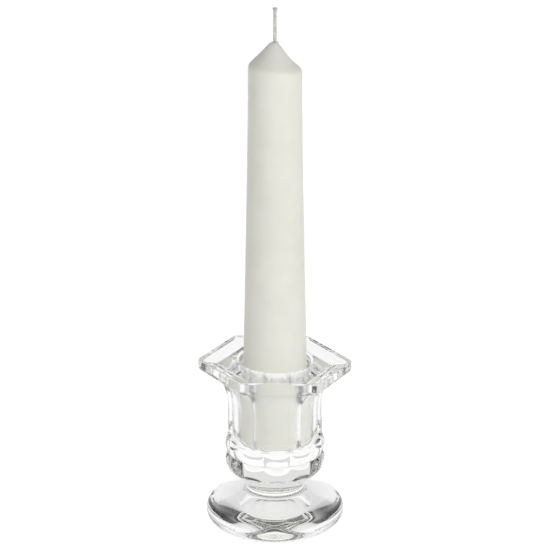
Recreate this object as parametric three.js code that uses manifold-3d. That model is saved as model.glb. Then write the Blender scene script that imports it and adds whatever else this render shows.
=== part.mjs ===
// A small pressed-glass candlestick: a round foot, a short round neck, two bands of twelve pillows and a
// six-sided cup that flares into a six-sided drip rim. A tapered dinner candle with a braided wick stands
// in the cup's socket.
//
// Millimetres, +Z up. The origin is the centre of the foot's standing ring, on the surface it stands on.
// Two corners of the six-sided cup lie on the X axis, so that one flat faces -Y.

import * as THREE from "three";
import { mergeVertices } from "three/addons/utils/BufferGeometryUtils.js";
import Module from "manifold-3d";

const wasm = await Module();
wasm.setup();

// ---------------------------------------------------------------- driving dimensions

// Foot: a thick disc with a half-round edge, sloping up to the neck, with a dimple underneath.
const footRadius = 24.5;
const footEdgeRadius = 4.2;
const footEdgeSweep = THREE.MathUtils.degToRad(162);
const footCrownHeight = 12;
const footFilletRadius = 1.2;
const dimpleRadius = 11.5;
const dimpleDepth = 3.5;

// Neck: the round waist between foot and cup.
const neckRadius = 10.4;
const neckHeight = 2.3;

// Cup: a round slanted underside, then the bands, whose pillows have their middles on the ring's corners,
// then a six-sided wall. The wall is measured where it is thinnest, where the socket's mouth is nearest
// to a flat.
const cupWall = 1.96;
const undersideSlope = THREE.MathUtils.degToRad(45);
const bandHeight = 5.8;
const bandBulge = 0.8;
const bandCount = 2;
const bandPillows = 12;
const wallHeight = 12.4;

// Drip rim: the flat six-sided plate on top, which the wall flares out to. Its overhang is measured along
// the corners. The two pulls say how far the flare keeps to the wall, and how far it runs under the rim.
const rimOverhang = 10.2;
const rimEdgeHeight = 5.1;
const rimUnderRadius = 2.2;
const flareHeight = 11;
const wallPull = 0.55;
const rimPull = 0.37;

// Socket: the tapered round hole for the candle, with a rounded lip and a shallow well in its floor.
const socketDepth = 30.8;
const socketDraft = THREE.MathUtils.degToRad(0.9);
const lipRadius = 1;
const seatWidth = 2.2;
const wellDepth = 2.6;

// The share of a shallow hollow's radius that stays nearly flat, under the foot and in the socket's floor.
const hollowFlatShare = 0.5;

// Candle: wax. It tapers evenly to its last stretch, which is nearly straight and ends in a cone.
const candleBaseRadius = 11.8;
const candleTopRadius = 9.1;
const candleLength = 136;
const straightLength = 28;
const straightTaper = 0.25;
const tipHeight = 8.7;
const tipFlatWidth = 0.35;
const candleClearance = 0.3;

// Wick: runs the whole length of the candle and stands free above the tip.
const wickRadius = 0.62;
const wickFreeLength = 11.6;
const wickClearance = 0.1;

// Facets round a full turn, and straight pieces in each curve of an outline.
const footFacets = 64;
const candleFacets = 48;
const wickFacets = 12;
const curveSteps = 6;

// ---------------------------------------------------------------- heights and radii that follow

const quarterTurn = Math.PI / 2;
const flatShare = Math.cos(Math.PI / 6);

const socketFloorRadius = candleBaseRadius + candleClearance;
const socketMouthRadius = socketFloorRadius + socketDepth * Math.tan(socketDraft);
const wellRadius = socketFloorRadius - seatWidth;
const cupRadius = (socketMouthRadius + cupWall) / flatShare;
const rimRadius = cupRadius + rimOverhang;

const neckTop = footCrownHeight + neckHeight;
const bandsBottom = neckTop + (cupRadius - neckRadius) * Math.tan(undersideSlope);
const wallBottom = bandsBottom + bandCount * bandHeight;
const flareBottom = wallBottom + wallHeight;
const rimBottom = flareBottom + flareHeight;
const rimTop = rimBottom + rimEdgeHeight;

const seatHeight = rimTop - socketDepth;
const footEdgeCentre = footRadius - footEdgeRadius;

const wickHoleRadius = wickRadius + wickClearance;
const tipTop = candleLength + tipHeight;

// ---------------------------------------------------------------- helpers

// A closed solid of revolution about +Z. The outline is a THREE.Path in (radius, height), which starts
// and ends on the axis or closes on itself. Six or twelve facets make a solid with corners on the X axis.
function turned(outline, facets) {
  const firstFacet = facets === 6 ? Math.PI / 6 : 0;
  const geometry = new THREE.LatheGeometry(outline.getPoints(curveSteps), facets, firstFacet);
  return geometry.rotateX(quarterTurn);
}

function toSolid(geometry) {
  const bare = geometry.clone().deleteAttribute("normal").deleteAttribute("uv");
  const merged = mergeVertices(bare, 1e-4);
  const mesh = new wasm.Mesh({
    numProp: 3,
    vertProperties: merged.attributes.position.array,
    triVerts: new Uint32Array(merged.index.array),
  });
  return new wasm.Manifold(mesh);
}

function toGeometry(solid) {
  const mesh = solid.getMesh();
  const geometry = new THREE.BufferGeometry();
  geometry.setAttribute("position", new THREE.BufferAttribute(mesh.vertProperties, 3));
  geometry.setIndex(new THREE.BufferAttribute(mesh.triVerts, 1));
  geometry.computeVertexNormals();
  return geometry;
}

// An arc from the path's current point to (radius, height) that bulges outwards by sagitta at its middle.
function bulgeTo(path, radius, height, sagitta) {
  const from = path.currentPoint;
  const chord = Math.hypot(radius - from.x, height - from.y);
  const arcRadius = (chord * chord) / (8 * sagitta) + sagitta / 2;
  const middle = new THREE.Vector2((from.x + radius) / 2, (from.y + height) / 2);
  const outward = new THREE.Vector2(height - from.y, from.x - radius).normalize();
  const centre = middle.addScaledVector(outward, sagitta - arcRadius);
  const start = Math.atan2(from.y - centre.y, from.x - centre.x);
  const end = Math.atan2(height - centre.y, radius - centre.x);
  path.absarc(centre.x, centre.y, arcRadius, start, end, false);
}

// ---------------------------------------------------------------- the glass

function footAndNeck() {
  const outline = new THREE.Path();
  outline.moveTo(0, dimpleDepth);
  outline.quadraticCurveTo(dimpleRadius * hollowFlatShare, dimpleDepth, dimpleRadius, 0);
  outline.lineTo(footEdgeCentre, 0);
  const edgeEnd = footEdgeSweep - quarterTurn;
  outline.absarc(footEdgeCentre, footEdgeRadius, footEdgeRadius, -quarterTurn, edgeEnd, false);
  outline.lineTo(neckRadius + footFilletRadius, footCrownHeight);
  outline.quadraticCurveTo(neckRadius, footCrownHeight, neckRadius, footCrownHeight + footFilletRadius);
  outline.lineTo(neckRadius, neckTop);
  outline.lineTo(cupRadius, bandsBottom);
  outline.lineTo(0, bandsBottom);
  return toSolid(turned(outline, footFacets));
}

function bands() {
  const outline = new THREE.Path();
  outline.moveTo(0, bandsBottom);
  outline.lineTo(cupRadius, bandsBottom);
  for (let band = 1; band <= bandCount; band += 1) {
    bulgeTo(outline, cupRadius, bandsBottom + band * bandHeight, bandBulge);
  }
  outline.lineTo(0, wallBottom);
  return toSolid(turned(outline, bandPillows));
}

function wallAndRim() {
  const outline = new THREE.Path();
  outline.moveTo(0, wallBottom);
  outline.lineTo(cupRadius, wallBottom);
  outline.lineTo(cupRadius, flareBottom);
  outline.bezierCurveTo(
    cupRadius, flareBottom + flareHeight * wallPull,
    cupRadius + rimOverhang * rimPull, rimBottom,
    rimRadius - rimUnderRadius, rimBottom,
  );
  outline.quadraticCurveTo(rimRadius, rimBottom, rimRadius, rimBottom + rimUnderRadius);
  outline.lineTo(rimRadius, rimTop);
  outline.lineTo(0, rimTop);
  return toSolid(turned(outline, 6));
}

function socket() {
  const lipBottomRadius = socketMouthRadius - lipRadius * Math.tan(socketDraft);
  const above = rimTop + lipRadius;
  const outline = new THREE.Path();
  outline.moveTo(0, seatHeight - wellDepth);
  outline.quadraticCurveTo(wellRadius * hollowFlatShare, seatHeight - wellDepth, wellRadius, seatHeight);
  outline.lineTo(socketFloorRadius, seatHeight);
  outline.lineTo(lipBottomRadius, rimTop - lipRadius);
  outline.quadraticCurveTo(socketMouthRadius, rimTop, socketMouthRadius + lipRadius, rimTop);
  outline.lineTo(socketMouthRadius + lipRadius, above);
  outline.lineTo(0, above);
  return toSolid(turned(outline, candleFacets));
}

function glassHolder() {
  return toGeometry(footAndNeck().add(bands()).add(wallAndRim()).subtract(socket()));
}

// ---------------------------------------------------------------- the candle and its wick

// Built on its own base at height 0, with the hole that the wick fills.
function candleBody() {
  const bend = { radius: candleTopRadius + straightTaper, height: candleLength - straightLength };
  const outline = new THREE.Path();
  outline.moveTo(wickHoleRadius, 0);
  outline.lineTo(candleBaseRadius, 0);
  outline.quadraticCurveTo(bend.radius, bend.height, candleTopRadius, candleLength);
  outline.lineTo(wickHoleRadius + tipFlatWidth, tipTop);
  outline.lineTo(wickHoleRadius, tipTop);
  outline.lineTo(wickHoleRadius, 0);
  return turned(outline, candleFacets);
}

function wickBody() {
  const wickLength = tipTop + wickFreeLength;
  const outline = new THREE.Path();
  outline.moveTo(0, 0);
  outline.lineTo(wickRadius, 0);
  outline.lineTo(wickRadius, wickLength);
  outline.lineTo(0, wickLength);
  return turned(outline, wickFacets);
}

// ---------------------------------------------------------------- materials

const clearGlass = new THREE.MeshStandardMaterial({
  color: 0xf4f7f6,
  roughness: 0.03,
  metalness: 0,
  transparent: true,
  opacity: 0.35,
});
const whiteWax = new THREE.MeshStandardMaterial({ color: 0xe2e2d8, roughness: 0.45, metalness: 0 });
const waxedCotton = new THREE.MeshStandardMaterial({ color: 0xc6c5bc, roughness: 0.7, metalness: 0 });

// ---------------------------------------------------------------- the assembly

function piece(name, geometry, material) {
  const mesh = new THREE.Mesh(geometry, material);
  mesh.name = name;
  return mesh;
}

const candle = new THREE.Group();
candle.position.z = seatHeight;
candle.add(piece("candle", candleBody(), whiteWax));
candle.add(piece("wick", wickBody(), waxedCotton));

const candlestick = new THREE.Group();
candlestick.add(piece("glass_holder", glassHolder(), clearGlass));
candlestick.add(candle);

export default candlestick;
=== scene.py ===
# %% [markdown]
# # A pressed-glass candlestick with a dinner candle
# The object is three things: one casting of clear glass, one wax candle and one braided wick. The frame
# holds their measured solids, which are faceted and plain. This lesson makes the surfaces that a person
# looks at: rounded, fire-polished glass, soft wax and a plaited cotton wick.
#
# Everything here is in metres, in the frame's own axes. Sizes are easier to read in millimetres, so they
# are written as a number times MM.

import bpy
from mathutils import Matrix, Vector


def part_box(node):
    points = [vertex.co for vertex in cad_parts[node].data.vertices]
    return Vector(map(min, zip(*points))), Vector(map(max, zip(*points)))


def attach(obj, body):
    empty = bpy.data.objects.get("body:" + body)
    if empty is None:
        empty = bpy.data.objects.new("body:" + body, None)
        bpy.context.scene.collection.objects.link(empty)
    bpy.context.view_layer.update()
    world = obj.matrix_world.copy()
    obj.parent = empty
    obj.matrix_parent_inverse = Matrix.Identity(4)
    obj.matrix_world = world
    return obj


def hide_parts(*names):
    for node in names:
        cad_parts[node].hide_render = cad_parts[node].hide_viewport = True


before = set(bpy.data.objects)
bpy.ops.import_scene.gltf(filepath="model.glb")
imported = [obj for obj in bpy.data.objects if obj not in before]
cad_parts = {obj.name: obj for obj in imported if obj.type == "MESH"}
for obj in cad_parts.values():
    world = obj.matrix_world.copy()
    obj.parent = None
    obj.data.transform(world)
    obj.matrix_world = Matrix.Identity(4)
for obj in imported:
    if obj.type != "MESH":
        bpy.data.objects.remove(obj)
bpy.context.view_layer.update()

import math

import bmesh
import bpy
from mathutils import Matrix, Vector, geometry

MM = 0.001

# %% What the frame says about the three pieces
glass_low, glass_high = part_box("glass_holder")
candle_low, candle_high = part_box("candle")
wick_low, wick_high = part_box("wick")
rim_top = glass_high.z
rim_corner = glass_high.x
foot_radius = (glass_high.y - glass_low.y) / 2
seat = candle_low.z
candle_foot = candle_high.x
print(f"glass {rim_top / MM:.1f} mm tall, rim {2 * rim_corner / MM:.1f} mm across its corners")
print(f"candle {2 * candle_foot / MM:.1f} mm wide at the foot, {candle_high.z / MM:.1f} mm to its tip")

# %% [markdown]
# ## The camera
# A small product like this is shot from about an arm's length with a long lens, from a little above. The
# camera comes first, because every later choice is judged through it. It could be placed by eye and
# turned with constraints; setting its matrix from an azimuth and an elevation is exact and needs no
# target object.

# %% Camera
look_at = Vector((0, 0, 92 * MM))
camera_distance = 801 * MM
camera_elevation = math.radians(19.34)
camera_azimuth = math.radians(-3.0)
camera_lens = 151.4

camera_data = bpy.data.cameras.new("long_lens")
camera_data.lens = camera_lens
camera_data.sensor_width = 36
camera_data.clip_start = 0.01
camera = bpy.data.objects.new("camera", camera_data)
bpy.context.scene.collection.objects.link(camera)
turn = Matrix.Rotation(camera_azimuth, 4, "Z") @ Matrix.Rotation(math.pi / 2 - camera_elevation, 4, "X")
camera.matrix_world = Matrix.Translation(look_at) @ turn @ Matrix.Translation((0, 0, camera_distance))
bpy.context.scene.camera = camera
print("camera at", [round(value, 3) for value in camera.matrix_world.translation])

# %% [markdown]
# ## Helpers for turned shapes
# All three pieces are, at heart, outlines turned round the vertical axis. An outline is drawn once, as a
# chain of vertices in the XZ plane, its sharp corners are rounded with a vertex bevel, and `spin` sweeps
# it round. A Screw modifier would do the same, but a bmesh spin leaves real vertices that can be moved
# one by one afterwards, which the six-sided cup needs.

# %% Outline helpers
def arc(centre, radius, start, end, steps):
    """Points on a circle in (radius, height), from one angle to another, in degrees."""
    points = []
    for step in range(steps + 1):
        angle = math.radians(start + (end - start) * step / steps)
        points.append((centre[0] + radius * math.cos(angle), centre[1] + radius * math.sin(angle)))
    return points


def bulge(start, end, sagitta, steps):
    """Points on the arc from start to end that stands out by sagitta in the middle."""
    chord = Vector(end) - Vector(start)
    radius = chord.length_squared / (8 * sagitta) + sagitta / 2
    outward = Vector((chord.y, -chord.x)).normalized()
    centre = (Vector(start) + Vector(end)) / 2 + outward * (sagitta - radius)
    first = math.degrees(math.atan2(start[1] - centre.y, start[0] - centre.x))
    last = math.degrees(math.atan2(end[1] - centre.y, end[0] - centre.x))
    return arc(centre, radius, first, last, steps)


def curve(start, pull_start, pull_end, end, steps):
    """Points on a Bezier curve in (radius, height)."""
    flat = [Vector((x, y, 0)) for x, y in (start, pull_start, pull_end, end)]
    return [(point.x, point.y) for point in geometry.interpolate_bezier(*flat, steps + 1)]


def chain(mesh, points, closed=False):
    """Vertices joined by edges in the XZ plane. Points nearer than a hundredth of a millimetre are one."""
    kept = []
    for radius, height in points:
        if not kept or math.dist(kept[-1], (radius, height)) > 0.01 * MM:
            kept.append((radius, height))
    verts = [mesh.verts.new((radius, 0, height)) for radius, height in kept]
    edges = [mesh.edges.new(pair) for pair in zip(verts, verts[1:])]
    if closed:
        edges.append(mesh.edges.new((verts[-1], verts[0])))
    return verts, edges


def round_corners(mesh, corners, steps=4):
    """Rounds the outline at each (radius, height, rounding)."""
    for radius, height, rounding in corners:
        place = Vector((radius, 0, height))
        corner = min(mesh.verts, key=lambda vert: (vert.co - place).length)
        bmesh.ops.bevel(mesh, geom=[corner], offset=rounding, offset_type="OFFSET", segments=steps,
                        profile=0.5, affect="VERTICES", material=-1)


def even_out(mesh, longest):
    """Cuts every edge of an outline into pieces no longer than the given length."""
    for edge in list(mesh.edges):
        cuts = math.ceil(edge.calc_length() / longest) - 1
        if cuts > 0:
            bmesh.ops.subdivide_edges(mesh, edges=[edge], cuts=cuts)


def turn_round(mesh, steps):
    """Spins the outline through a full turn and closes its poles."""
    bmesh.ops.spin(mesh, geom=mesh.verts[:] + mesh.edges[:], cent=(0, 0, 0), axis=(0, 0, 1),
                   angle=math.tau, steps=steps, use_merge=True)
    bmesh.ops.remove_doubles(mesh, verts=mesh.verts[:], dist=0.001 * MM)
    bmesh.ops.recalc_face_normals(mesh, faces=mesh.faces[:])


def finished(mesh, name, body, material):
    """Turns a bmesh into a smooth-shaded piece that rides on a body and wears a material."""
    for face in mesh.faces:
        face.smooth = True
    data = bpy.data.meshes.new(name)
    mesh.to_mesh(data)
    mesh.free()
    data.materials.append(material)
    piece = bpy.data.objects.new(name, data)
    bpy.context.scene.collection.objects.link(piece)
    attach(piece, body)
    print(name, len(data.vertices), "vertices", [round(side / MM, 1) for side in piece.dimensions], "mm")
    return piece


def ease(value, low, high):
    """0 below low, 1 above high, and a smooth S between."""
    share = min(max((value - low) / (high - low), 0), 1)
    return share * share * (3 - 2 * share)

# %% [markdown]
# ## Surface effects that more than one material shares
# Two effects turn up in all three finishes. Mottle is a soft cloudiness: wax has it in its colour, glass
# in how well it is polished, cotton in how much wax it took up. Ripple is a faint unevenness of the
# surface itself. Each is a node group, built once, so that a material sets only its scale and strength.

# %% Group helpers
def socket(group, name, kind, direction, default=None):
    made = group.interface.new_socket(name=name, in_out=direction, socket_type=kind)
    if default is not None:
        made.default_value = default
    return made


def node(tree, kind, inputs=None, **settings):
    """A node with its settings, and with input values by name or number."""
    made = tree.nodes.new(kind)
    for key, value in settings.items():
        setattr(made, key, value)
    for key, value in (inputs or {}).items():
        made.inputs[key].default_value = value
    return made


def link(tree, start, output, end, entry):
    tree.links.new(start.outputs[output], end.inputs[entry])

# %% Mottle: a mask that drifts between 0 and 1
mottle = bpy.data.node_groups.new("mottle", "ShaderNodeTree")
socket(mottle, "Vector", "NodeSocketVector", "INPUT")
socket(mottle, "Scale", "NodeSocketFloat", "INPUT", 100.0)
socket(mottle, "Detail", "NodeSocketFloat", "INPUT", 3.0)
socket(mottle, "Low", "NodeSocketFloat", "INPUT", 0.35)
socket(mottle, "High", "NodeSocketFloat", "INPUT", 0.65)
socket(mottle, "Mask", "NodeSocketFloat", "OUTPUT")
entry = node(mottle, "NodeGroupInput")
cloud = node(mottle, "ShaderNodeTexNoise", {"Roughness": 0.55})
spread = node(mottle, "ShaderNodeMapRange", interpolation_type="SMOOTHSTEP")
leave = node(mottle, "NodeGroupOutput")
link(mottle, entry, "Vector", cloud, "Vector")
link(mottle, entry, "Scale", cloud, "Scale")
link(mottle, entry, "Detail", cloud, "Detail")
link(mottle, cloud, "Fac", spread, "Value")
link(mottle, entry, "Low", spread, "From Min")
link(mottle, entry, "High", spread, "From Max")
link(mottle, spread, "Result", leave, "Mask")

# %% Ripple: a height made of a slow swell and a fine tremor
ripple = bpy.data.node_groups.new("ripple", "ShaderNodeTree")
socket(ripple, "Vector", "NodeSocketVector", "INPUT")
socket(ripple, "Swell Scale", "NodeSocketFloat", "INPUT", 80.0)
socket(ripple, "Fine Scale", "NodeSocketFloat", "INPUT", 900.0)
socket(ripple, "Fine Share", "NodeSocketFloat", "INPUT", 0.3)
socket(ripple, "Height", "NodeSocketFloat", "OUTPUT")
entry = node(ripple, "NodeGroupInput")
swell = node(ripple, "ShaderNodeTexNoise", {"Detail": 1.0})
fine = node(ripple, "ShaderNodeTexNoise", {"Detail": 4.0, "Roughness": 0.6})
blend = node(ripple, "ShaderNodeMix", data_type="FLOAT")
leave = node(ripple, "NodeGroupOutput")
link(ripple, entry, "Vector", swell, "Vector")
link(ripple, entry, "Vector", fine, "Vector")
link(ripple, entry, "Swell Scale", swell, "Scale")
link(ripple, entry, "Fine Scale", fine, "Scale")
link(ripple, entry, "Fine Share", blend, "Factor")
link(ripple, swell, "Fac", blend, "A")
link(ripple, fine, "Fac", blend, "B")
link(ripple, blend, "Result", leave, "Height")
print("shader groups:", [group.name for group in bpy.data.node_groups])


def new_material(name):
    """A material with only a Principled BSDF and its output, plus the piece's own coordinates."""
    material = bpy.data.materials.new(name)
    material.use_nodes = True
    tree = material.node_tree
    shader = next(made for made in tree.nodes if made.type == "BSDF_PRINCIPLED")
    place = node(tree, "ShaderNodeTexCoord")
    return material, tree, shader, place


def use(tree, group, place, inputs):
    """One of the shared groups in a material, on the piece's own coordinates."""
    made = node(tree, "ShaderNodeGroup", node_tree=group)
    for key, value in inputs.items():
        made.inputs[key].default_value = value
    tree.links.new(place, made.inputs["Vector"])
    return made


def bumped(tree, height, shader, strength, distance):
    """Feeds a height to the shader's normal."""
    bump = node(tree, "ShaderNodeBump", {"Strength": strength, "Distance": distance})
    tree.links.new(height, bump.inputs["Height"])
    tree.links.new(bump.outputs["Normal"], shader.inputs["Normal"])


def tinted(tree, mask, dark, light, entry):
    """Mixes two colours by a mask into a colour input."""
    mix = node(tree, "ShaderNodeMix", data_type="RGBA")
    mix.inputs["A"].default_value = (*dark, 1)
    mix.inputs["B"].default_value = (*light, 1)
    tree.links.new(mask, mix.inputs["Factor"])
    tree.links.new(mix.outputs["Result"], entry)


def ranged(tree, mask, low, high, entry):
    """Stretches a mask from low to high into a value input."""
    stretch = node(tree, "ShaderNodeMapRange", {"To Min": low, "To Max": high})
    tree.links.new(mask, stretch.inputs["Value"])
    tree.links.new(stretch.outputs["Result"], entry)


def fade(tree, start, end, low, high):
    """A smooth step from low, before start, to high, after end."""
    limits = {"From Min": start, "From Max": end, "To Min": low, "To Max": high}
    return node(tree, "ShaderNodeMapRange", limits, interpolation_type="SMOOTHSTEP")

# %% [markdown]
# ## The glass
# Pressed soda-lime glass is made by pushing a plunger into hot glass in an iron mould and then passing a
# flame over it, so every edge ends up slightly rounded and the flats are very gently uneven. A clear
# Principled surface with full transmission bends light as the real glass does. It must be one closed skin,
# outside and socket together, because each crossing of the skin bends the ray.

# %% Clear glass, with faint cloudy patches and a gently uneven skin
clear_glass, tree, shader, place = new_material("pressed_glass")
shader.inputs["Transmission Weight"].default_value = 1.0
shader.inputs["Metallic"].default_value = 0.0
shader.inputs["IOR"].default_value = 1.52
haze = use(tree, mottle, place.outputs["Object"], {"Scale": 60.0, "Low": 0.45, "High": 0.75})
tinted(tree, haze.outputs["Mask"], (0.985, 0.99, 0.987), (0.965, 0.975, 0.97), shader.inputs["Base Color"])
grain = use(tree, ripple, place.outputs["Object"],
            {"Swell Scale": 140.0, "Fine Scale": 600.0, "Fine Share": 0.15})
bumped(tree, grain.outputs["Height"], shader, 0.05, 0.2 * MM)
print("material", clear_glass.name)

# %% [markdown]
# ### The dull skin of the socket
# The flame doesn't reach into the socket, so its skin stays as the plunger left it, a little dull. That
# blurs what is seen through it. A second material would do, but then the two finishes would meet in a hard
# line. A mask picks the socket out instead, by its distance from the axis and its height.

# %% Roughness: the cloudy patches, plus the socket
patch_roughness = 0.02
socket_roughness = 0.2
socket_reach = 12.7 * MM
polished_from = 13.1 * MM
level = node(tree, "ShaderNodeMapping")
level.inputs["Scale"].default_value = (1, 1, 0)
reach = node(tree, "ShaderNodeVectorMath", operation="LENGTH")
near = node(tree, "ShaderNodeMapRange",
            {"From Min": socket_reach, "From Max": polished_from, "To Min": socket_roughness, "To Max": 0.0})
height = node(tree, "ShaderNodeSeparateXYZ")
above = node(tree, "ShaderNodeMapRange", {"From Min": seat - 4 * MM, "From Max": seat - 1 * MM})
dull = node(tree, "ShaderNodeMath", operation="MULTIPLY")
patchy = node(tree, "ShaderNodeMath", {1: patch_roughness}, operation="MULTIPLY")
rough = node(tree, "ShaderNodeMath", operation="ADD")
link(tree, place, "Object", level, "Vector")
link(tree, level, "Vector", reach, "Vector")
link(tree, reach, "Value", near, "Value")
link(tree, place, "Object", height, "Vector")
link(tree, height, "Z", above, "Value")
link(tree, near, "Result", dull, 0)
link(tree, above, "Result", dull, 1)
link(tree, haze, "Mask", patchy, 0)
link(tree, dull, "Value", rough, 0)
link(tree, patchy, "Value", rough, 1)
link(tree, rough, "Value", shader, "Roughness")

# %% [markdown]
# ### Letting soft light through
# A renderer can't aim a lamp through bent glass, so a candle inside a glass cup would come out too dark.
# Shadow rays and diffuse rays therefore pass straight through a Transparent surface, and only the rays
# that the eye follows are bent.

# %% A straight way through for shadow and diffuse rays
out = next(made for made in tree.nodes if made.type == "OUTPUT_MATERIAL")
rays = node(tree, "ShaderNodeLightPath")
soft_rays = node(tree, "ShaderNodeMath", operation="MAXIMUM")
straight = node(tree, "ShaderNodeBsdfTransparent", {"Color": (1, 1, 1, 1)})
either = node(tree, "ShaderNodeMixShader")
link(tree, rays, "Is Shadow Ray", soft_rays, 0)
link(tree, rays, "Is Diffuse Ray", soft_rays, 1)
link(tree, soft_rays, "Value", either, "Fac")
link(tree, shader, "BSDF", either, 1)
link(tree, straight, "BSDF", either, 2)
link(tree, either, "Shader", out, "Surface")
print("the glass uses", len(tree.nodes), "nodes")

# %% [markdown]
# ### The glass outline
# The mould's section, walked from the middle of the dimple under the foot, out over the standing ring and
# the round edge, up the neck and the cup to the rim, and back down inside the socket. Where the glass is
# six-sided the radius is the one at the corners, and in the bands it is the one at a pillow's middle.

# %% Sizes of the glass
foot_edge = 4.2 * MM
foot_crown = 12 * MM
foot_fillet = 1.2 * MM
dimple_radius = 11.5 * MM
dimple_depth = 3.5 * MM
neck_radius = 10.4 * MM
neck_top = 14.3 * MM
rim_overhang = 10.2 * MM
cup_corner = rim_corner - rim_overhang
bands_bottom = neck_top + cup_corner - neck_radius
band_count = 2
band_height = 5.8 * MM
band_bulge = 0.8 * MM
wall_bottom = bands_bottom + band_count * band_height
ledge = 0.6 * MM
flare_bottom = wall_bottom + 12.4 * MM
rim_bottom = flare_bottom + 11 * MM
wall_pull = flare_bottom + 0.55 * (rim_bottom - flare_bottom)
rim_pull = cup_corner + 0.37 * rim_overhang
rim_under = 2.2 * MM
lip = 1 * MM
mouth_radius = 12.58 * MM
floor_radius = 12.1 * MM
well_radius = 9.9 * MM
well_depth = 2.6 * MM
longest_step = 0.8 * MM
print(f"the cup's corner is {cup_corner / MM:.2f} mm out, the rim {(rim_top - rim_bottom) / MM:.1f} mm thick")

# %% The outside, from the middle of the dimple to the edge of the socket
outside = bmesh.new()
foot_centre = foot_radius - foot_edge
points = curve((0, dimple_depth), (dimple_radius / 3, dimple_depth),
               (dimple_radius * 2 / 3, dimple_depth * 2 / 3), (dimple_radius, 0), 20)
points += arc((foot_centre, foot_edge), foot_edge, -90, 72, 30)
points += [(neck_radius, foot_crown), (neck_radius, neck_top), (cup_corner, bands_bottom)]
for band in range(band_count):
    top = bands_bottom + (band + 1) * band_height
    points += bulge((cup_corner, top - band_height), (cup_corner, top), band_bulge, 14)
points += [(cup_corner, wall_bottom + ledge)]
points += curve((cup_corner, flare_bottom), (cup_corner, wall_pull),
                (rim_pull, rim_bottom), (rim_corner - rim_under, rim_bottom), 24)
points += curve((rim_corner - rim_under, rim_bottom), (rim_corner - rim_under / 2, rim_bottom),
                (rim_corner, rim_bottom + rim_under / 2), (rim_corner, rim_bottom + rim_under), 8)
points += [(rim_corner, rim_top), (mouth_radius + lip, rim_top)]
chain(outside, points)
round_corners(outside, [
    (dimple_radius, 0, 0.4 * MM),
    (neck_radius, foot_crown, foot_fillet),
    (neck_radius, neck_top, 0.8 * MM),
    (cup_corner, bands_bottom, 0.4 * MM),
    (cup_corner, bands_bottom + band_height, 0.25 * MM),
    (rim_corner, rim_top, 0.7 * MM),
])
even_out(outside, longest_step)
print("the outside has", len(outside.verts), "points")

# %% The socket, from its lip to the middle of its well
inside = bmesh.new()
points = curve((mouth_radius + lip, rim_top), (mouth_radius + lip / 2, rim_top),
               (mouth_radius, rim_top - lip / 2), (mouth_radius, rim_top - lip), 6)
points += [(floor_radius, seat)]
points += curve((well_radius, seat), (well_radius * 2 / 3, seat - well_depth * 2 / 3),
                (well_radius / 3, seat - well_depth), (0, seat - well_depth), 18)
chain(inside, points)
round_corners(inside, [(floor_radius, seat, 0.6 * MM), (well_radius, seat, 0.5 * MM)])
even_out(inside, longest_step)
print("the socket has", len(inside.verts), "points")

# %% [markdown]
# ### Pressing the cup into six sides
# The spun outside is round everywhere. The mould gives the cup and the rim six flats, so each vertex of
# that part is moved along its own radius onto a hexagon with slightly rounded corners. The two bands below
# are rings of twelve low pillows, so there a vertex sinks a little as it nears the groove between two
# pillows. Cutting such shapes with booleans would give the same lines, but it would leave slivers that
# show up badly in anything that refracts.

# %% The hexagon, the pillows, and the rule for pressing
sixth = math.pi / 3
corner_rounding = 0.8 * MM
edge_width = 2 * MM
pillows = 12
pillow_groove = 0.9 * MM


def off_middle(angle, division):
    """How far an angle is from the middle of its division of the circle, the first of which is at +X."""
    return abs((angle + division / 2) % division - division / 2)


def hexagon(corner_radius, angle):
    """The distance from the axis to a rounded hexagon whose corners lie every 60 degrees from +X."""
    off = off_middle(angle, sixth)
    apothem = corner_radius * math.cos(sixth / 2)
    rounding = min(corner_rounding, apothem / 2)
    centre = (apothem - rounding) / math.cos(sixth / 2)
    tangent = sixth / 2 - math.atan((apothem - rounding) * math.tan(sixth / 2) / apothem)
    if off > tangent:
        return apothem / math.cos(sixth / 2 - off)
    return centre * math.cos(off) + math.sqrt(rounding ** 2 - (centre * math.sin(off)) ** 2)


def pillowed(radius, height, angle):
    """The distance from the axis to a ring of pillows, which are highest in their middles."""
    across = off_middle(angle, math.tau / pillows) / (math.pi / pillows)
    up = 2 * ((height - bands_bottom) / band_height % 1) - 1
    return radius - pillow_groove * across ** 2 * (1 - 0.6 * up * up)


def pressed(radius, height, angle):
    """How far from the axis the mould puts a point of the round outside."""
    if height < bands_bottom:
        return radius
    if height < wall_bottom:
        return pillowed(radius, height, angle)
    if height < wall_bottom + ledge:
        share = ease(height, wall_bottom, wall_bottom + ledge)
        return radius + share * (hexagon(radius, angle) - radius)
    if height > rim_top - 0.01 * MM:
        share = ease(radius, mouth_radius + lip, rim_corner - edge_width)
        return radius + share * (hexagon(radius, angle) - radius)
    return hexagon(radius, angle)

# %% Spin both halves of the skin and press the outside
around = 240
crowding = 0.7
rim_tilt = math.tan(math.radians(2.0))


def reshaped(mesh, rule):
    """Moves each vertex to the radius the rule gives, after gathering the vertices towards the corners."""
    for vert in mesh.verts:
        radius = math.hypot(vert.co.x, vert.co.y)
        if radius > 0.001 * MM:
            angle = math.atan2(vert.co.y, vert.co.x)
            angle -= crowding / 6 * math.sin(6 * angle)
            radius = rule(radius, vert.co.z, angle)
            vert.co.x, vert.co.y = radius * math.cos(angle), radius * math.sin(angle)


turn_round(outside, around)
reshaped(outside, pressed)
turn_round(inside, around)
reshaped(inside, lambda radius, height, angle: radius)
print("widest point", round(max(vert.co.x for vert in outside.verts) / MM, 2), "mm from the axis")

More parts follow.
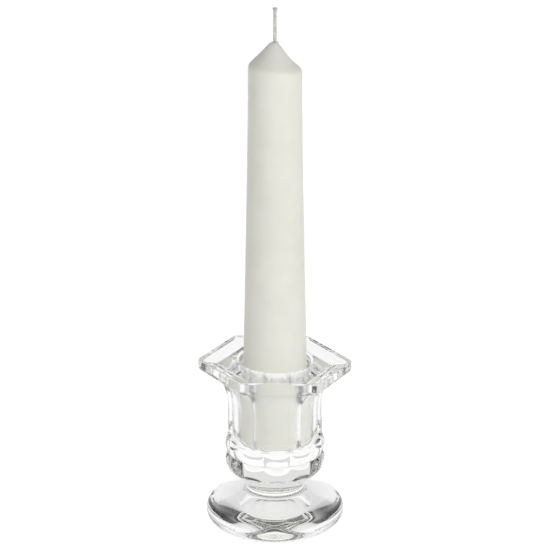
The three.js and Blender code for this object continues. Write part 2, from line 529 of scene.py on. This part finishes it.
# %% Join them into one closed skin
socket_skin = bpy.data.meshes.new("socket_skin")
inside.to_mesh(socket_skin)
inside.free()
glass = outside
glass.from_mesh(socket_skin)
bpy.data.meshes.remove(socket_skin)
bmesh.ops.remove_doubles(glass, verts=glass.verts[:], dist=0.01 * MM)
bmesh.ops.recalc_face_normals(glass, faces=glass.faces[:])
for vert in glass.verts:
    vert.co.z -= vert.co.x * rim_tilt * ease(vert.co.z, flare_bottom, rim_bottom)
print("open edges", sum(not edge.is_manifold for edge in glass.edges), "- volume",
      round(glass.calc_volume() / MM ** 3 / 1000, 1), "ml")

glass_holder = finished(glass, "pressed_glass_holder", "holder", clear_glass)
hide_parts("glass_holder")

# %% [markdown]
# ## The candle
# A dinner candle is pressed or dipped from hard wax that lets a little light in, so its shadows are soft
# and its edges glow. Subsurface scattering gives that. The wax is slightly cloudy, drawn out in faint
# vertical streaks as it came out of the mould, and rubbed duller in patches.

# %% White wax
white_wax, tree, shader, place = new_material("candle_wax")
shader.inputs["Subsurface Weight"].default_value = 0.6
shader.inputs["Subsurface Radius"].default_value = (1.0, 0.9, 0.7)
shader.inputs["Subsurface Scale"].default_value = 4 * MM
shader.inputs["IOR"].default_value = 1.44
cloud = use(tree, mottle, place.outputs["Object"], {"Scale": 70.0, "Low": 0.3, "High": 0.7})
tinted(tree, cloud.outputs["Mask"], (0.80, 0.80, 0.725), (0.84, 0.84, 0.77), shader.inputs["Base Color"])
drawn = node(tree, "ShaderNodeMapping")
drawn.inputs["Scale"].default_value = (1, 1, 0.08)
link(tree, place, "Object", drawn, "Vector")
rubbed = use(tree, mottle, drawn.outputs["Vector"], {"Scale": 420.0, "Low": 0.3, "High": 0.7})
ranged(tree, rubbed.outputs["Mask"], 0.36, 0.5, shader.inputs["Roughness"])
skin = use(tree, ripple, drawn.outputs["Vector"],
           {"Swell Scale": 130.0, "Fine Scale": 1500.0, "Fine Share": 0.3})
bumped(tree, skin.outputs["Height"], shader, 0.3, 0.12 * MM)
print("material", white_wax.name)

# %% [markdown]
# ### The candle's shape
# The outline is spun, like the glass. A real candle is cut to its point by hand or in a worn tool, so the
# shoulder isn't level, the cone is hollow on one side and the tip isn't quite in the middle. Moving the
# spun vertices near the top gives all three.

# %% The wax
tip_height = 8.7 * MM
tip_flat = 0.35 * MM
candle_top_radius = 9.1 * MM
shoulder = candle_high.z - tip_height
wick_radius = (wick_high.x - wick_low.x) / 2
hole = wick_radius + 0.1 * MM
lower_pull = (10.2 * MM, seat + 70 * MM)
upper_pull = (9.35 * MM, shoulder - 38 * MM)
wax = bmesh.new()
points = [(hole, seat), (candle_foot, seat)]
points += curve((candle_foot, seat), lower_pull, upper_pull, (candle_top_radius, shoulder), 60)
points += [(hole + tip_flat, candle_high.z), (hole, candle_high.z)]
chain(wax, points, closed=True)
round_corners(wax, [
    (candle_foot, seat, 0.5 * MM),
    (candle_top_radius, shoulder, 1.0 * MM),
    (hole + tip_flat, candle_high.z, 0.2 * MM),
])
even_out(wax, 1.0 * MM)
turn_round(wax, 128)

# %% The cut at the top
shoulder_tilt = 0.085
tip_shift = 0.4 * MM
cone_hollow = 0.7 * MM
for vert in wax.verts:
    up = (vert.co.z - shoulder) / tip_height
    near_shoulder = ease(up, -0.5, 0) * (1 - ease(up, 0.1, 0.9))
    hollow = math.sin(math.pi * min(max(up, 0), 1)) * max(vert.co.x, 0) / candle_top_radius
    vert.co.z -= shoulder_tilt * vert.co.x * near_shoulder
    if vert.co.to_2d().length > hole + 0.01 * MM:
        vert.co.x -= tip_shift * ease(up, 0, 1) * (1 - ease(up, 0.9, 1)) + 2 * cone_hollow * hollow
candle = finished(wax, "tapered_candle", "dinner_candle", white_wax)
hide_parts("candle")

# %% [markdown]
# ## The wick
# The wick is a round braid of eight cotton strands, dipped in wax so that it stands up by itself. Four
# strands wind one way and four the other, and each goes over one and under the next. A straight strand is
# turned once, copied, and its vertices are led round the braid: the distance from the middle swings in and
# out, and the two windings swing opposite ways. Where two strands cross they press into each other, as
# soft cotton does.

# %% Waxed cotton
waxed_cotton, tree, shader, place = new_material("braided_cotton")
cloud = use(tree, mottle, place.outputs["Object"], {"Scale": 500.0, "Low": 0.3, "High": 0.7})
tinted(tree, cloud.outputs["Mask"], (0.6, 0.6, 0.57), (0.76, 0.76, 0.72), shader.inputs["Base Color"])
ranged(tree, cloud.outputs["Mask"], 0.55, 0.8, shader.inputs["Roughness"])
print("material", waxed_cotton.name)

# %% One straight strand, with closer rings where it stands free of the wax
strand_radius = 0.2 * MM
wax_line = candle_high.z - 2 * MM
cotton = bmesh.new()
chain(cotton, [(0, wick_low.z), (strand_radius, wick_low.z), (strand_radius, wax_line)])
even_out(cotton, 0.6 * MM)
free = bmesh.new()
chain(free, [(strand_radius, wax_line), (strand_radius, wick_high.z), (0, wick_high.z)])
even_out(free, 0.15 * MM)
above = bpy.data.meshes.new("free_end")
free.to_mesh(above)
free.free()
cotton.from_mesh(above)
bpy.data.meshes.remove(above)
bmesh.ops.remove_doubles(cotton, verts=cotton.verts[:], dist=0.001 * MM)
turn_round(cotton, 8)
print("one strand has", len(cotton.faces), "faces")

# %% Eight strands led along the braid
strand_centre = wick_radius - strand_radius - 0.02 * MM
crossing_depth = 0.1 * MM
strands_each_way = 4
braid_turn = 5.2 * MM
frayed_length = 1.6 * MM
fray = 0.42
strand = cotton.verts[:] + cotton.edges[:] + cotton.faces[:]
copies = [strand]
for number in range(2 * strands_each_way - 1):
    copies.append(bmesh.ops.duplicate(cotton, geom=strand)["geom"])
for number, copy in enumerate(copies):
    hand = 1 if number % 2 else -1
    phase = math.tau * (number // 2) / strands_each_way
    for vert in copy:
        if not isinstance(vert, bmesh.types.BMVert):
            continue
        way = math.tau * (vert.co.z - wick_low.z) / braid_turn
        spread = 1 + fray * ease(vert.co.z, wick_high.z - frayed_length, wick_high.z)
        weave = hand * crossing_depth * math.cos(strands_each_way * way)
        reach = spread * (strand_centre + weave)
        vert.co.x += reach * math.cos(hand * way + phase)
        vert.co.y += reach * math.sin(hand * way + phase)
wick = finished(cotton, "braided_wick", "dinner_candle", waxed_cotton)
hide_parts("wick")

# %% [markdown]
# ## Light
# Clear glass has no colour of its own: all that shows is what it bends into view. Under an even white sky
# it would vanish. So this is the usual set for glass. It stands on a lit white table in front of a bright
# backdrop. Dark flags on both sides of the backdrop, and the dark side where the camera is, draw the edges.
# One large soft lamp, high in front and to the right, shapes the candle, and a weak one fills its left
# side. The glass doesn't see these two, because a lamp's own picture would only clutter it.

# %% [markdown]
# ### The table
# It is a sheet of white acrylic, lit from below. Its glow carries a painted shadow: it is dimmed under the
# foot, as if the glass kept the room's light off it. The sheet lies a tenth of a millimetre under the foot.
# Pressed glass touches a table at only a few points, and the film of air beneath it is what makes the foot
# reflect like a mirror at low angles.

# %% The lit table
table = bmesh.new()
bmesh.ops.create_circle(table, cap_ends=True, radius=4, segments=96)
bmesh.ops.translate(table, vec=(0, 0, -0.1 * MM), verts=table.verts[:])
table_data = bpy.data.meshes.new("lit_table")
table.to_mesh(table_data)
table.free()
lit_table = bpy.data.objects.new("lit_table", table_data)
bpy.context.scene.collection.objects.link(lit_table)
opal, tree, shader, place = new_material("opal_acrylic")
shader.inputs["Base Color"].default_value = (0.03, 0.03, 0.03, 1)
shader.inputs["Roughness"].default_value = 0.9
shader.inputs["Emission Strength"].default_value = 1.0
reach = node(tree, "ShaderNodeVectorMath", operation="LENGTH")
# Painted shadow: the table's glow is cut to 0.82 within 9 mm of the axis and rises to full by 27 mm, under
# the glass foot.
painted_shadow = fade(tree, 9 * MM, 27 * MM, 0.0, 1.0)
link(tree, place, "Object", reach, "Vector")
link(tree, reach, "Value", painted_shadow, "Value")
tinted(tree, painted_shadow.outputs["Result"], (0.82, 0.82, 0.82), (1, 1, 1), shader.inputs["Emission Color"])
table_data.materials.append(opal)
print("table", [round(side, 1) for side in lit_table.dimensions], "m")

# %% [markdown]
# ### The backdrop
# It is painted on the world instead of being built from panels. Each direction has an X, a Y and a Z, and
# three smooth steps say where it is bright: behind the glass, between the flags, and low down. The eye
# itself sees plain white, because only the glass and the wax need the dark parts.

# %% Bright behind, between the flags and low down
world = bpy.data.worlds.new("studio")
bpy.context.scene.world = world
world.use_nodes = True
tree = world.node_tree
background = tree.nodes["Background"]
direction = node(tree, "ShaderNodeTexCoord")
axes = node(tree, "ShaderNodeSeparateXYZ")
aside = node(tree, "ShaderNodeMath", operation="ABSOLUTE")
behind = fade(tree, -0.1, 0.3, 0.0, 0.75)
between = fade(tree, 0.6, 0.8, 1.0, 0.1)
low = fade(tree, 0.45, 0.7, 1.0, 0.2)
panel = node(tree, "ShaderNodeMath", operation="MULTIPLY")
glow = node(tree, "ShaderNodeMath", operation="MULTIPLY")
seen = node(tree, "ShaderNodeLightPath")
strength = node(tree, "ShaderNodeMix", {"B": 1.0}, data_type="FLOAT")
link(tree, direction, "Generated", axes, "Vector")
link(tree, axes, "X", aside, 0)
link(tree, aside, "Value", between, "Value")
link(tree, axes, "Y", behind, "Value")
link(tree, axes, "Z", low, "Value")
link(tree, behind, "Result", panel, 0)
link(tree, between, "Result", panel, 1)
link(tree, panel, "Value", glow, 0)
link(tree, low, "Result", glow, 1)
link(tree, seen, "Is Camera Ray", strength, "Factor")
link(tree, glow, "Value", strength, "A")
link(tree, strength, "Result", background, "Strength")
background.inputs["Color"].default_value = (1, 1, 1, 1)
print("the backdrop uses", len(tree.nodes), "nodes")

# %% A helper for a soft lamp
def soft_lamp(name, azimuth, elevation, distance, width, height, brightness):
    """A rectangular lamp that faces the candle. Azimuth 0 is the camera's side, and + is to its right."""
    data = bpy.data.lights.new(name, "AREA")
    data.shape = "RECTANGLE"
    data.size, data.size_y = width, height
    data.energy = brightness * width * height * math.pi
    lamp = bpy.data.objects.new(name, data)
    bpy.context.scene.collection.objects.link(lamp)
    aim = Matrix.Rotation(math.radians(azimuth), 4, "Z")
    aim = aim @ Matrix.Rotation(math.radians(90 - elevation), 4, "X")
    lamp.matrix_world = Matrix.Translation((0, 0, 100 * MM)) @ aim @ Matrix.Translation((0, 0, distance))
    return lamp


# %% Two lamps for the candle
key = soft_lamp("key", azimuth=24, elevation=40, distance=0.9, width=1.0, height=0.8, brightness=2.6)
fill = soft_lamp("fill", azimuth=-60, elevation=20, distance=0.9, width=0.6, height=0.6, brightness=0.5)
for lamp in (key, fill):
    lamp.visible_glossy = False
    lamp.visible_transmission = False
    print(lamp.name, round(lamp.data.energy, 1), "W")

# %% [markdown]
# ### Light paths
# Inside thick glass a ray is turned back many times before it gets out. Each turn counts as a bounce, and
# a ray that runs out of bounces comes back black, so the limits are much higher than the usual ones.

# %% How the renderer treats light in glass
scene = bpy.context.scene
scene.view_settings.view_transform = "Standard"
scene.cycles.max_bounces = 32
scene.cycles.transmission_bounces = 24
scene.cycles.glossy_bounces = 24
scene.cycles.diffuse_bounces = 5
scene.cycles.transparent_max_bounces = 24
scene.cycles.blur_glossy = 0.3
print("up to", scene.cycles.max_bounces, "bounces")
